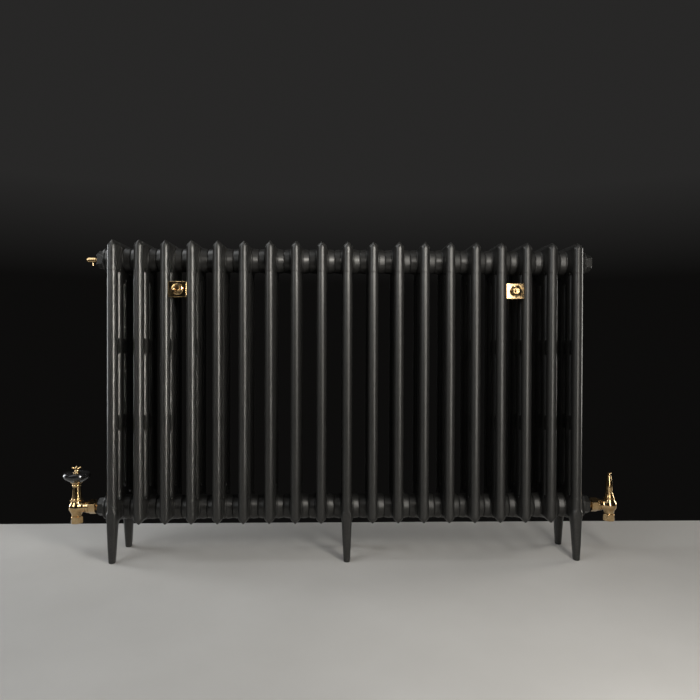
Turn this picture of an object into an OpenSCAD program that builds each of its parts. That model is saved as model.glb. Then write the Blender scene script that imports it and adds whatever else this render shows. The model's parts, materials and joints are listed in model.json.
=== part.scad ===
// Cast iron column radiator with two angle valves, an air vent, a blank plug and two wall stays.
// +Z is up, +X runs along the row of sections, the front faces -Y and the wall is at +Y.
// The origin is on the floor, at the middle of the whole object's plan.

/* [Casting] */
// Number of sections in the row
section_count = 19; // [11:2:21]
// Distance from one section to the next
section_pitch = 60; // [58:1:66]
// Height of a section, floor to ridge
section_h = 745; // [650:5:900]
// Height of the bottom keel above the floor
keel_z = 86; // [84:1:96]
// Width of a column, along the row
column_w = 22.5; // [18:0.5:24]
// Depth of a column, front to back
column_d = 27; // [24:1:29]
// Distance from one column to the next, front to back
column_pitch = 36.5; // [35:0.5:40]
// Iron thickness around the waterways
wall_t = 5; // [4:0.5:5.5]

/* [Hubs and joints] */
// Height of the bottom hub's centre
hub_low_z = 115; // [113:1:122]
// Depth of the top hub's centre below the ridge
hub_drop = 41; // [38:1:46]
// Largest radius of a hub's crowned boss
hub_r = 29; // [27.5:0.5:30]
// Radius of the hub's threaded bore
hub_bore_r = 21; // [20.5:0.1:22]
// Thickness of the gasket in each joint
gasket_t = 1; // [0.6:0.1:1.5]
// Length of a threaded nipple
nipple_l = 28; // [24:1:32]

/* [Feet] */
// Width of a foot where it meets the floor
foot_w = 15; // [10:1:18]
// Depth of a foot where it meets the floor
foot_d = 18; // [14:1:22]
// How far each foot's middle stands outside its column's middle
foot_splay = 3; // [0:0.5:6]

/* [End fittings] */
// Thickness of a bush's or plug's round flange
flange_t = 5; // [3:0.5:8]
// Radius of that flange
flange_r = 27.5; // [24:0.5:28]
// Width across the flats of its hexagon
bush_af = 38; // [34:1:42]
// Length of that hexagon
bush_hex_l = 14.5; // [10:0.5:18]
// Length of its thread inside the hub
bush_thread_l = 14; // [10:1:20]

/* [Air vent] */
// Radius of the vent's body
vent_r = 6; // [5:0.5:7]
// Length of the vent's body
vent_body_l = 17; // [14:1:22]
// Length of the turning screw's head
vent_key_l = 4.5; // [3:0.5:8]

/* [Valves] */
// Distance from the last hub's face to the valve's upright axis
valve_reach = 74.5; // [72:0.5:82]
// Radius of the valve's ball-shaped body
ball_r = 18; // [17:0.5:20]
// Radius of the pipe socket
pipe_r = 7.6; // [7.5:0.05:7.7]
// Width across the flats of the union nut
union_af = 30; // [28:1:32]
// Length of the union nut
union_l = 16; // [14:1:17]
// Width across the flats of the pipe nut
pipe_nut_af = 25; // [24:0.5:27]
// Length of the pipe nut
pipe_nut_l = 16.5; // [15:0.5:18]
// Lift of the disc from shut to open
disc_lift = 5; // [3:0.5:5]

/* [Handwheel and cap] */
// Radius of the round handwheel
wheel_r = 31; // [26:1:34]
// Top of the handwheel's rim above the valve's outlet
wheel_top = 82; // [78:1:90]
// Height of the cross-armed finial
finial_h = 15; // [10:1:18]
// Length of one arm of the finial, from the axis
finial_arm = 10.5; // [8:0.5:12]
// Top of the lockshield's cap above the valve's outlet
cap_top = 78; // [70:1:90]

/* [Wall stays] */
// Which gap from each end holds a stay
stay_gap = 3; // [2:1:4]
// Height of the stay's rod
stay_z = 630; // [560:5:640]
// Width of the stay's plate
stay_plate_w = 42; // [41:0.5:50]
// Height of the stay's plate
stay_plate_h = 36; // [30:1:50]
// Thickness of the stay's plate
stay_plate_t = 2; // [1.5:0.5:3]
// Radius of the stay's rod
stay_rod_r = 3; // [2.5:0.5:4]
// Distance from the rear columns to the wall
wall_gap = 34; // [25:1:60]

/* [Hidden] */
$fn = 64;
iron = "#4a4a48";
brass = "#c9a45c";
steel = "#8d8f90";
rubber_black = "#1c1c1e";
fibre_red = "#7a3b2c";
pin_clearance = 0.05;
body_clearance = 0.3;

column_count = 4;
row_l = section_count * section_pitch;
hub_high_z = section_h - hub_drop;
hub_zs = [hub_low_z, hub_high_z];
face_x = section_pitch / 2 - gasket_t / 2;
row_face_x = row_l / 2 - gasket_t / 2;
column_r = column_w / 2;
rear_y = (column_count - 1) * column_pitch;
hub_y = rear_y / 2;
front_face_y = -column_d / 2;
back_face_y = rear_y + column_d / 2;
end_corner_r = 16;
tent_half_w = 16;
tent_half_l = 68;
tent_arc_r = (pow(tent_half_l, 2) + pow(tent_half_w, 2)) / (2 * tent_half_w);
chamber_half_h = 18;
bulge_half_h = 27;
slot_w = column_pitch - column_d;
outer_slot_inset = 26;
middle_slot_inset = 48;
bridge_half_h = 17;
bridge_half_w = 7;
bridge_share = [0.348, 0.652];

stay_x = row_l / 2 - stay_gap * section_pitch;
stay_contact_x = section_pitch / 2 - stay_plate_w / 2;
stay_contact_depth = column_r - sqrt(pow(column_r, 2) - pow(stay_contact_x, 2));
stay_plate_back_y = front_face_y + stay_contact_depth - body_clearance;
stay_nut_l = 10;
stay_nut_r = 13.5;
wall_y = back_face_y + wall_gap;
wall_plate_r = 24;
wall_plate_t = 4;
wall_hole_r = 2.6;
wall_hole_spacing = 32;

bush_out_x = gasket_t + flange_t + bush_hex_l;
valve_axis_x = row_face_x + valve_reach;
tail_gap = 7;
union_x = valve_reach - bush_out_x - tail_gap - union_l;
union_thread_r = 13;
tail_r = 8.5;
tail_thread_r = 10.3;
vent_thread_r = 4.8;
vent_screw_r = 3.2;
vent_neck_l = 8;
tail_collar_t = 3.5;
outlet_bore_r = 6.5;
inlet_end_z = -33;
inlet_thread_r = 10.6;
pipe_socket_l = 17;
pipe_nut_top_z = -22.2;
seat_z = -4;
disc_r = 6.8;
disc_top_z = 8;
screw_r = 3;
spindle_r = 4;
spindle_shoulder_z = 17;
bonnet_z = 15;
bonnet_thread_r = 10;
bead_t = 3.5;
bonnet_neck_top = 54;
packing_z = 18;
packing_t = 6;
packing_r = 6.2;
lock_shoulder_z = 25.5;
lock_neck_r = 6.5;
lock_neck_top = 40;
wheel_base_z = 60;
wheel_dish_z = wheel_top - 1.5;
x_max = valve_axis_x + ball_r;
x_min = -(valve_axis_x + wheel_r);
y_min = stay_plate_back_y - stay_plate_t - stay_nut_l;
y_max = wall_y;

function two_digits(n) = n < 10 ? str("0", n) : str(n);
function section_name(n) = str("section_", two_digits(n));
function has_feet(n) = n == 1 || n == section_count || n == (section_count + 1) / 2;

// Moves the design frame, whose origin is under the front columns' middle line, to the object's.
module placed() {
    translate([-(x_min + x_max) / 2, -(y_min + y_max) / 2, 0]) children();
}

// A solid of revolution about the X axis, from [distance along X, radius] points.
module turned_x(points) {
    rotate([0, 90, 0]) rotate_extrude() polygon([for (p = points) [p[1], p[0]]]);
}

// A solid of revolution about the Z axis, from [height, radius] points.
module turned_z(points) {
    rotate_extrude() polygon([for (p = points) [p[1], p[0]]]);
}

module hexagon_x(across_flats, length) {
    rotate([0, 90, 0]) cylinder(r = across_flats / sqrt(3), h = length, $fn = 6);
}

// ---- Sections ----

// Plan outline with straight sides and round ends, centred.
module stadium(w, d) {
    square([w, d - w], center = true);
    for (side = [-1, 1]) translate([0, side * (d - w) / 2]) circle(r = w / 2);
}

module extrude_along_x(half_w) {
    rotate([90, 0, 90]) translate([0, 0, -half_w]) linear_extrude(2 * half_w) children();
}

module extrude_along_y(from_y, to_y) {
    translate([0, to_y, 0]) rotate([90, 0, 0]) linear_extrude(to_y - from_y) children();
}

// Side outline of a section: level top and keel with rounded corners.
module side_outline() {
    d = back_face_y - front_face_y;
    translate([front_face_y + end_corner_r, keel_z]) square([d - 2 * end_corner_r, section_h - keel_z]);
    translate([front_face_y, keel_z + end_corner_r]) square([d, section_h - keel_z - 2 * end_corner_r]);
    for (y = [front_face_y + end_corner_r, back_face_y - end_corner_r])
        for (z = [keel_z + end_corner_r, section_h - end_corner_r])
            translate([y, z]) circle(r = end_corner_r);
}

// Front outline of a section: 45 degree ridge above, the same keel below.
module front_outline(half_w) {
    polygon([
        [0, keel_z], [half_w, keel_z + half_w], [half_w, section_h - half_w],
        [0, section_h], [-half_w, section_h - half_w], [-half_w, keel_z + half_w]
    ]);
}

// Plan outline of an end chamber away from the hub, as wide as the columns.
module chamber_outline() {
    translate([0, hub_y]) stadium(column_w, rear_y + column_d);
}

// Plan outline of its bulge round the hub: two arcs that meet at the front and the back.
module bulge_outline() {
    intersection_for(side = [-1, 1])
        translate([side * (tent_arc_r - tent_half_w), hub_y]) circle(r = tent_arc_r, $fn = 128);
}

module columns() {
    for (i = [0:column_count - 1])
        translate([0, i * column_pitch, keel_z])
            linear_extrude(section_h - keel_z) stadium(column_w, column_d);
}

module end_chambers() {
    top_z = hub_high_z - middle_slot_inset;
    bottom_z = hub_low_z + middle_slot_inset;
    top_bulge_z = hub_high_z - bulge_half_h;
    bottom_bulge_z = hub_low_z + bulge_half_h;
    translate([0, 0, top_z]) linear_extrude(section_h - top_z) chamber_outline();
    translate([0, 0, top_bulge_z]) linear_extrude(section_h - top_bulge_z) bulge_outline();
    translate([0, 0, keel_z]) linear_extrude(bottom_z - keel_z) chamber_outline();
    translate([0, 0, keel_z]) linear_extrude(bottom_bulge_z - keel_z) bulge_outline();
}

// Flat webs that tie each column to the next at two heights.
module bridges() {
    for (share = bridge_share)
        translate([0, hub_y, hub_low_z + share * (hub_high_z - hub_low_z)])
            cube([2 * bridge_half_w, rear_y, 2 * bridge_half_h], center = true);
}

// The notches above and below the outer slots, which reach further than the middle one.
module outer_slot_ends() {
    reach = middle_slot_inset - outer_slot_inset;
    for (y = [column_pitch / 2, rear_y - column_pitch / 2])
        for (z = [hub_low_z + outer_slot_inset, hub_high_z - middle_slot_inset - 1])
            translate([-section_pitch / 2, y - slot_w / 2, z]) cube([section_pitch, slot_w, reach + 1]);
}

// One hub: two crowned bosses whose faces meet the next sections' bosses at a groove.
module hub_shell(z) {
    neck_r = hub_r - 1.5;
    crown = [
        [0, neck_r], [11, neck_r], [17, hub_r], [24, hub_r], [27.5, hub_r - 0.7], [face_x, hub_r - 3]
    ];
    mirrored = [for (i = [len(crown) - 1:-1:1]) [-crown[i][0], crown[i][1]]];
    translate([0, hub_y, z]) turned_x(concat([[-face_x, 0]], mirrored, crown, [[face_x, 0]]));
}

// Front foot, tapering both ways to a small flat pad. The rear foot is its mirror image.
module front_foot() {
    root_z = hub_low_z - 3;
    root_half_w = column_r;
    pad_y = -foot_splay;
    intersection() {
        extrude_along_y(front_face_y, hub_y)
            polygon([
                [-root_half_w, root_z], [root_half_w, root_z], [root_half_w, keel_z],
                [foot_w / 2, 0], [-foot_w / 2, 0], [-root_half_w, keel_z]
            ]);
        extrude_along_x(column_w)
            polygon([
                [front_face_y, root_z], [30, root_z], [27, keel_z], [16, 66], [9.5, 34],
                [pad_y + foot_d / 2, 0], [pad_y - foot_d / 2, 0], [front_face_y, 42]
            ]);
    }
}

module feet() {
    front_foot();
    translate([0, rear_y, 0]) mirror([0, 1, 0]) front_foot();
}

module waterways() {
    for (i = [0:column_count - 1])
        translate([0, i * column_pitch, hub_low_z])
            linear_extrude(hub_high_z - hub_low_z)
                stadium(column_w - 2 * wall_t, column_d - 2 * wall_t);
    for (z = hub_zs) {
        translate([0, hub_y, z - chamber_half_h])
            linear_extrude(2 * chamber_half_h)
                stadium(column_w - 2 * wall_t, rear_y + column_d - 2 * wall_t);
        translate([-section_pitch, hub_y, z]) rotate([0, 90, 0])
            cylinder(r = hub_bore_r, h = 2 * section_pitch);
    }
}

module section_body() {
    difference() {
        intersection() {
            union() {
                columns();
                end_chambers();
                bridges();
            }
            extrude_along_x(section_pitch / 2) side_outline();
            extrude_along_y(front_face_y - 1, back_face_y + 1) front_outline(tent_half_w);
        }
        outer_slot_ends();
    }
    for (z = hub_zs) hub_shell(z);
}

module section(n) {
    placed() color(iron) translate([(n - (section_count + 1) / 2) * section_pitch, 0, 0])
        difference() {
            union() {
                section_body();
                if (has_feet(n)) feet();
            }
            waterways();
        }
}

// ---- Joints between sections ----

// A nipple: right and left hand threads outside, two lugs inside for the joining tool.
module nipple() {
    bore_r = 16;
    difference() {
        rotate([0, 90, 0]) cylinder(r = hub_bore_r - pin_clearance, h = nipple_l, center = true);
        rotate([0, 90, 0]) cylinder(r = bore_r, h = nipple_l + 2, center = true);
    }
    for (side = [-1, 1]) translate([0, 0, side * (bore_r - 1)]) cube([nipple_l - 8, 5, 4], center = true);
}

module joint_seams(z) {
    for (n = [1:section_count - 1])
        translate([(n - section_count / 2) * section_pitch, hub_y, z]) children();
}

module ring_x(outer_r, inner_r, length) {
    rotate([0, 90, 0]) difference() {
        cylinder(r = outer_r, h = length, center = true);
        cylinder(r = inner_r, h = length + 2, center = true);
    }
}

module top_nipples() {
    placed() color(steel) joint_seams(hub_high_z) nipple();
}

module bottom_nipples() {
    placed() color(steel) joint_seams(hub_low_z) nipple();
}

module top_gaskets() {
    placed() color(rubber_black) joint_seams(hub_high_z) ring_x(hub_r - 3.5, hub_bore_r + 0.5, gasket_t);
}

module bottom_gaskets() {
    placed() color(rubber_black) joint_seams(hub_low_z) ring_x(hub_r - 3.5, hub_bore_r + 0.5, gasket_t);
}

module end_gaskets() {
    placed() color(rubber_black)
        for (side = [-1, 1])
            for (z = hub_zs)
                translate([side * row_l / 2, hub_y, z]) ring_x(hub_r - 3.5, hub_bore_r + 0.5, gasket_t);
}

// ---- End bushes and plug ----

// Puts a right-hand end fitting, drawn from the last hub's face outwards, on either end.
module at_end(side, z) {
    placed() translate([side * row_face_x, hub_y, z]) mirror([side < 0 ? 1 : 0, 0, 0]) children();
}

module bush_blank() {
    translate([-bush_thread_l + gasket_t, 0, 0]) rotate([0, 90, 0])
        cylinder(r = hub_bore_r - pin_clearance, h = bush_thread_l + 1);
    translate([gasket_t, 0, 0]) rotate([0, 90, 0]) cylinder(r = flange_r, h = flange_t);
    translate([gasket_t + flange_t - 0.5, 0, 0]) hexagon_x(bush_af, bush_hex_l + 0.5);
}

module bush(thread_r, thread_l, bore_r) {
    difference() {
        bush_blank();
        translate([bush_out_x - thread_l, 0, 0]) rotate([0, 90, 0])
            cylinder(r = thread_r, h = thread_l + 1);
        translate([-bush_thread_l, 0, 0]) rotate([0, 90, 0])
            cylinder(r = bore_r, h = section_pitch);
    }
}

module bush_top_left() {
    at_end(-1, hub_high_z) color(iron) bush(vent_thread_r + pin_clearance, 10, 3.5);
}

module bush_bottom_left() {
    at_end(-1, hub_low_z) color(iron) bush(tail_thread_r + pin_clearance, 16, 8);
}

module bush_bottom_right() {
    at_end(1, hub_low_z) color(iron) bush(tail_thread_r + pin_clearance, 16, 8);
}

module plug_top_right() {
    at_end(1, hub_high_z) color(iron) bush_blank();
}

// ---- Air vent ----

module air_vent_body() {
    x0 = bush_out_x;
    body_x = x0 + vent_neck_l;
    end_x = body_x + vent_body_l;
    spout_x = x0 + 15;
    at_end(-1, hub_high_z) color(brass) difference() {
        union() {
            turned_x([
                [x0 - 9, 0], [x0 - 9, vent_thread_r], [x0 - 0.2, vent_thread_r], [x0 - 0.2, 3.2],
                [body_x, 3.2], [body_x, vent_r - 0.8], [body_x + 1.5, vent_r], [end_x, vent_r], [end_x, 0]
            ]);
            translate([spout_x, 0, -14]) cylinder(r = 1.9, h = 13);
        }
        translate([x0 - 10, 0, 0]) rotate([0, 90, 0]) cylinder(r = 1.5, h = 40);
        translate([x0 + 11, 0, 0]) rotate([0, 90, 0]) cylinder(r = vent_screw_r + pin_clearance, h = 20);
        translate([spout_x, 0, -15]) cylinder(r = 0.9, h = 15);
    }
}

// The vent's screw: a round shank in the body, and a square key end outside it.
module air_vent_screw() {
    x0 = bush_out_x + vent_neck_l + vent_body_l;
    collar_r = vent_r - 1.2;
    at_end(-1, hub_high_z) color(brass) {
        turned_x([
            [x0 - 9, 0], [x0 - 6, vent_screw_r], [x0 + 0.3, vent_screw_r], [x0 + 0.3, collar_r],
            [x0 + 1.6, collar_r], [x0 + 1.6, 0]
        ]);
        translate([x0 + 1.5, -2.5, -2.5]) cube([vent_key_l - 1.5, 5, 5]);
    }
}

// ---- Angle valves, drawn with the upright axis on Z and the outlet towards +X ----

// Puts a valve part at the left end (side -1) or, mirrored, at the right end (side 1).
module at_valve(side) {
    placed() translate([side * valve_axis_x, hub_y, hub_low_z]) mirror([side > 0 ? 1 : 0, 0, 0]) children();
}

module angle_body() {
    shoulder_r = union_thread_r + 1.6;
    color(brass) difference() {
        union() {
            translate([0, 0, -1]) sphere(r = ball_r);
            turned_z([
                [inlet_end_z, 0], [inlet_end_z, inlet_thread_r], [pipe_nut_top_z + 0.7, inlet_thread_r],
                [pipe_nut_top_z + 0.7, 11.6], [-14, 12], [0, 12], [bonnet_z, 13], [bonnet_z, 0]
            ]);
            turned_x([
                [0, 0], [0, 11.5], [20, 11.5], [25, shoulder_r], [union_x - 0.5, shoulder_r],
                [union_x - 0.5, union_thread_r], [union_x + 6.5, union_thread_r], [union_x + 6.5, 0]
            ]);
        }
        translate([0, 0, inlet_end_z - 1]) cylinder(r = pipe_r, h = pipe_socket_l + 1);
        translate([0, 0, inlet_end_z]) cylinder(r = 5, h = -inlet_end_z);
        translate([0, 0, seat_z]) cylinder(r = 9, h = 30);
        translate([0, 0, bonnet_z - 11]) cylinder(r = bonnet_thread_r + pin_clearance, h = 20);
        rotate([0, 90, 0]) cylinder(r = outlet_bore_r, h = union_x + 10);
    }
}

// The tube that screws into the end bush, with the collar that the union nut draws up.
module tailpiece() {
    start = union_x + 6.8;
    thread_x = valve_reach - bush_out_x + 0.2;
    color(brass) difference() {
        turned_x([
            [start, 0], [start, union_thread_r - 1.4], [start + tail_collar_t, union_thread_r - 1.4],
            [start + tail_collar_t, tail_r], [thread_x, tail_r], [thread_x, tail_thread_r],
            [thread_x + 15, tail_thread_r], [thread_x + 15, 0]
        ]);
        rotate([0, 90, 0]) cylinder(r = outlet_bore_r, h = 2 * valve_reach);
    }
}

module union_nut() {
    skirt_l = 11;
    corner_r = union_af / sqrt(3);
    color(brass) difference() {
        translate([union_x, 0, 0]) intersection() {
            hexagon_x(union_af, union_l);
            turned_x([
                [0, 0], [0, corner_r - 1.5], [2, corner_r + 0.1], [union_l - 2, corner_r + 0.1],
                [union_l, corner_r - 1.8], [union_l, 0]
            ]);
        }
        translate([union_x - 1, 0, 0]) rotate([0, 90, 0])
            cylinder(r = union_thread_r + pin_clearance, h = skirt_l + 1);
        rotate([0, 90, 0]) cylinder(r = tail_r + body_clearance, h = 2 * valve_reach);
    }
}

// The ring that the pipe nut squeezes on to the pipe.
module olive() {
    top_z = inlet_end_z - 0.2;
    color(brass) difference() {
        turned_z([
            [top_z - 3.2, 0], [top_z - 3.2, 8.6], [top_z - 2.4, 9.4], [top_z - 0.8, 9.4], [top_z, 8.6],
            [top_z, 0]
        ]);
        translate([0, 0, top_z - 5]) cylinder(r = pipe_r, h = 10);
    }
}

module pipe_nut() {
    corner_r = pipe_nut_af / sqrt(3);
    pocket_z = inlet_end_z - 3.6;
    bottom_z = pipe_nut_top_z - pipe_nut_l;
    color(brass) difference() {
        intersection() {
            translate([0, 0, bottom_z]) cylinder(r = corner_r, h = pipe_nut_l, $fn = 6);
            turned_z([
                [bottom_z, 0], [bottom_z, corner_r - 1.6], [bottom_z + 2, corner_r + 0.1],
                [pipe_nut_top_z - 2, corner_r + 0.1], [pipe_nut_top_z, corner_r - 1.6], [pipe_nut_top_z, 0]
            ]);
        }
        translate([0, 0, pocket_z]) cylinder(r = inlet_thread_r + pin_clearance, h = 30);
        translate([0, 0, bottom_z - 1]) cylinder(r = pipe_r + 0.1, h = 30);
    }
}

// Hollow of a bonnet: room for the disc to rise, the packing's pocket and the spindle's bore.
module bonnet_hollow() {
    cylinder(r = disc_r + 0.6, h = packing_z);
    translate([0, 0, packing_z - 0.1]) cylinder(r = packing_r, h = packing_t + 0.1);
    cylinder(r = spindle_r + pin_clearance, h = 2 * bonnet_neck_top);
}

module bonnet(bead_r, neck_points) {
    thread_z = bonnet_z - 10.5;
    color(brass) difference() {
        turned_z(concat(
            [
                [thread_z, 0], [thread_z, bonnet_thread_r], [bonnet_z, bonnet_thread_r],
                [bonnet_z, bead_r - 1], [bonnet_z + 1, bead_r], [bonnet_z + bead_t - 1, bead_r],
                [bonnet_z + bead_t, bead_r - 1]
            ],
            neck_points
        ));
        bonnet_hollow();
    }
}

module packing() {
    color(fibre_red) translate([0, 0, packing_z]) difference() {
        cylinder(r = packing_r - pin_clearance, h = packing_t);
        translate([0, 0, -1]) cylinder(r = spindle_r + pin_clearance, h = packing_t + 2);
    }
}

// Turns in place; its thinner lower screw lifts and lowers the disc.
module spindle(top_z) {
    color(brass) turned_z([
        [disc_top_z - 3.5, 0], [disc_top_z - 3.5, screw_r], [spindle_shoulder_z, screw_r],
        [spindle_shoulder_z, spindle_r], [top_z, spindle_r], [top_z, 0]
    ]);
}

module disc() {
    hollow_z = disc_top_z - 3.5 - disc_lift - 0.7;
    color(brass) difference() {
        turned_z([
            [seat_z + 0.2, 0], [seat_z + 0.2, disc_r - 0.6], [seat_z + 2, disc_r], [disc_top_z, disc_r],
            [disc_top_z, 0]
        ]);
        translate([0, 0, hollow_z]) cylinder(r = screw_r + pin_clearance, h = 20);
    }
}

module valve_body() {
    at_valve(-1) angle_body();
}

module valve_tailpiece() {
    at_valve(-1) tailpiece();
}

module valve_union_nut() {
    at_valve(-1) union_nut();
}

module valve_olive() {
    at_valve(-1) olive();
}

module valve_pipe_nut() {
    at_valve(-1) pipe_nut();
}

module valve_bonnet() {
    at_valve(-1) bonnet(15.3, [[bonnet_z + bead_t, 12.5], [bonnet_neck_top, 10], [bonnet_neck_top, 0]]);
}

module valve_packing() {
    at_valve(-1) packing();
}

module valve_spindle() {
    at_valve(-1) spindle(wheel_dish_z - 0.5);
}

module valve_disc() {
    at_valve(-1) disc();
}

module wheel_collar() {
    at_valve(-1) color(brass) difference() {
        turned_z([
            [bonnet_neck_top + 0.5, 0], [bonnet_neck_top + 0.5, 10], [bonnet_neck_top + 2.5, 11.2],
            [wheel_base_z, 12], [wheel_base_z, 0]
        ]);
        cylinder(r = spindle_r + pin_clearance, h = wheel_top);
    }
}

module handwheel() {
    rim = wheel_r;
    at_valve(-1) color(rubber_black) difference() {
        turned_z([
            [wheel_base_z, 0], [wheel_base_z, 12.5], [wheel_base_z + 3, 16], [wheel_base_z + 7, rim - 6],
            [wheel_top - 11, rim - 1.5], [wheel_top - 7, rim], [wheel_top - 3, rim - 0.4],
            [wheel_top - 1, rim - 2], [wheel_top, rim - 4.5], [wheel_dish_z, rim - 9], [wheel_dish_z, 0]
        ]);
        cylinder(r = spindle_r + pin_clearance, h = wheel_top);
    }
}

// Four round arms on a short stem, which screws the wheel down on to the spindle.
module wheel_finial() {
    arm_r = 2.4;
    arm_z = wheel_top + finial_h - 5.5;
    at_valve(-1) color(brass) {
        turned_z([
            [wheel_dish_z, 0], [wheel_dish_z, 8], [wheel_dish_z + 2, 8], [wheel_dish_z + 3.5, 4.5],
            [arm_z + 2, 4.5], [wheel_top + finial_h, 2.5], [wheel_top + finial_h, 0]
        ]);
        for (turn = [0:90:270]) rotate([0, 0, turn + 20]) {
            translate([0, 0, arm_z]) rotate([0, 90, 0]) cylinder(r = arm_r, h = finial_arm - arm_r);
            translate([finial_arm - arm_r - 0.3, 0, arm_z]) sphere(r = arm_r + 0.5);
        }
    }
}

module lockshield_body() {
    at_valve(1) angle_body();
}

module lockshield_tailpiece() {
    at_valve(1) tailpiece();
}

module lockshield_union_nut() {
    at_valve(1) union_nut();
}

module lockshield_olive() {
    at_valve(1) olive();
}

module lockshield_pipe_nut() {
    at_valve(1) pipe_nut();
}

module lockshield_bonnet() {
    at_valve(1) bonnet(13.5, [
        [bonnet_z + bead_t, 11.5], [lock_shoulder_z, 9.6], [lock_shoulder_z, lock_neck_r],
        [lock_neck_top, lock_neck_r], [lock_neck_top, 0]
    ]);
}

module lockshield_packing() {
    at_valve(1) packing();
}

module lockshield_spindle() {
    at_valve(1) spindle(lock_neck_top + 6);
}

module lockshield_disc() {
    at_valve(1) disc();
}

// Tall turned cover that lifts off the lockshield's spindle.
module lockshield_cap() {
    base_z = lock_shoulder_z + 0.4;
    cap_hollow_l = 28;
    at_valve(1) color(brass) difference() {
        turned_z([
            [base_z, 0], [base_z, 9.8], [base_z + 1, 10.4], [base_z + 2.5, 9.6], [base_z + 4, 8.4],
            [50, 8.4], [70, 5.6], [cap_top - 5, 5.2], [cap_top - 1, 4.6], [cap_top, 3.4], [cap_top, 0]
        ]);
        translate([0, 0, base_z - 1]) cylinder(r = lock_neck_r + body_clearance, h = cap_hollow_l + 1);
    }
}

// ---- Wall stays, drawn with the rod on Y and the front towards -Y ----

module at_stay(side) {
    placed() translate([side * stay_x, 0, stay_z]) children();
}

// A solid of revolution about the Y axis, from [distance towards -Y, radius] points.
module turned_y(points) {
    rotate([90, 0, 0]) turned_z(points);
}

module stay_rods() {
    for (side = [-1, 1])
        at_stay(side) color(brass)
            turned_y([
                [-(wall_y - 0.5), 0], [-(wall_y - 0.5), stay_rod_r], [-y_min - 3.5, stay_rod_r],
                [-y_min - 2.5, stay_rod_r - 1], [-y_min - 2.5, 0]
            ]);
}

module stay_wall_plates() {
    boss_l = 12;
    for (side = [-1, 1])
        at_stay(side) color(brass) difference() {
            turned_y([
                [-wall_y, 0], [-wall_y, wall_plate_r], [-wall_y + wall_plate_t, wall_plate_r],
                [-wall_y + wall_plate_t, 8], [-wall_y + boss_l, 8], [-wall_y + boss_l, 0]
            ]);
            translate([0, wall_y + 1, 0]) rotate([90, 0, 0])
                cylinder(r = stay_rod_r + pin_clearance, h = boss_l + 2);
            for (x = [-1, 1]) translate([x * wall_hole_spacing / 2, wall_y + 1, 0]) rotate([90, 0, 0])
                cylinder(r = wall_hole_r, h = wall_plate_t + 2);
        }
}

module stay_plate() {
    color(brass) difference() {
        translate([-stay_plate_w / 2, stay_plate_back_y - stay_plate_t, -stay_plate_h / 2])
            cube([stay_plate_w, stay_plate_t, stay_plate_h]);
        translate([0, stay_plate_back_y + 1, 0]) rotate([90, 0, 0])
            cylinder(r = stay_rod_r + body_clearance, h = stay_plate_t + 2);
    }
}

// Stepped round nut with a recessed front, threaded on the rod.
module stay_nut() {
    base = -stay_plate_back_y + stay_plate_t;
    front = base + stay_nut_l;
    ring_r = 7.8;
    recess_r = 4.8;
    recess_depth = 3.5;
    color(brass) difference() {
        turned_y([
            [base, 0], [base, stay_nut_r], [base + 2, stay_nut_r], [base + 3, stay_nut_r - 1.2],
            [base + 5.5, 9.5], [front - 1, ring_r], [front, ring_r - 0.8], [front, 0]
        ]);
        translate([0, -base + 1, 0]) rotate([90, 0, 0])
            cylinder(r = stay_rod_r + pin_clearance, h = stay_nut_l + 2);
        translate([0, -front + recess_depth, 0]) rotate([90, 0, 0])
            cylinder(r = recess_r, h = stay_nut_l);
    }
}

module stay_plate_left() {
    at_stay(-1) stay_plate();
}

module stay_nut_left() {
    at_stay(-1) stay_nut();
}

module stay_plate_right() {
    at_stay(1) stay_plate();
}

module stay_nut_right() {
    at_stay(1) stay_nut();
}

for (n = [1:section_count]) section(n);
top_nipples();
bottom_nipples();
top_gaskets();
bottom_gaskets();
end_gaskets();
bush_top_left();
bush_bottom_left();
bush_bottom_right();
plug_top_right();
air_vent_body();
air_vent_screw();
valve_body();
valve_tailpiece();
valve_union_nut();
valve_olive();
valve_pipe_nut();
valve_bonnet();
valve_packing();
valve_spindle();
valve_disc();
wheel_collar();
handwheel();
wheel_finial();
lockshield_body();
lockshield_tailpiece();
lockshield_union_nut();
lockshield_olive();
lockshield_pipe_nut();
lockshield_bonnet();
lockshield_packing();
lockshield_spindle();
lockshield_disc();
lockshield_cap();
stay_rods();
stay_wall_plates();
stay_plate_left();
stay_nut_left();
stay_plate_right();
stay_nut_right();
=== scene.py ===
"""Looks of the cast iron column radiator: castings, polished brass fittings, materials, light and camera.

Shapes are drawn in millimetres in each piece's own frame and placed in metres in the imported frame.
"""
import json
import math

import bpy
import numpy as np
from mathutils import Matrix, Vector


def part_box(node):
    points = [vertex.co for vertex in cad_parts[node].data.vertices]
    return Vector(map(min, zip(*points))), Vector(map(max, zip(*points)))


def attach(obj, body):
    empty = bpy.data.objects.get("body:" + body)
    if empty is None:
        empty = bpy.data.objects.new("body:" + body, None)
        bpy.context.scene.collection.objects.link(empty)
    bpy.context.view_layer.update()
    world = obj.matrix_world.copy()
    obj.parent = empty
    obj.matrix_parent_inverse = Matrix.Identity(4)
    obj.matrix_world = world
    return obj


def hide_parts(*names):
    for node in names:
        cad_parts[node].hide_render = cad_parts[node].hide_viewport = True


MM = 0.001

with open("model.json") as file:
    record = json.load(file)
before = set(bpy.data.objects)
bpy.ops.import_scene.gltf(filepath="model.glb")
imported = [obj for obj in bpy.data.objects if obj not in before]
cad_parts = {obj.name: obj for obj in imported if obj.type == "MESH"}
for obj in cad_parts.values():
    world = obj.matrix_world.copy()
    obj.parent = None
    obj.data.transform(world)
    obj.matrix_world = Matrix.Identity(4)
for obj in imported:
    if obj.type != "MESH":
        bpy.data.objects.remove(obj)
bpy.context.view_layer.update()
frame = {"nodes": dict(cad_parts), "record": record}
nodes = frame["nodes"]


def centre_of(node):
    low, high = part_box(node)
    return (low + high) / 2


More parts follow.
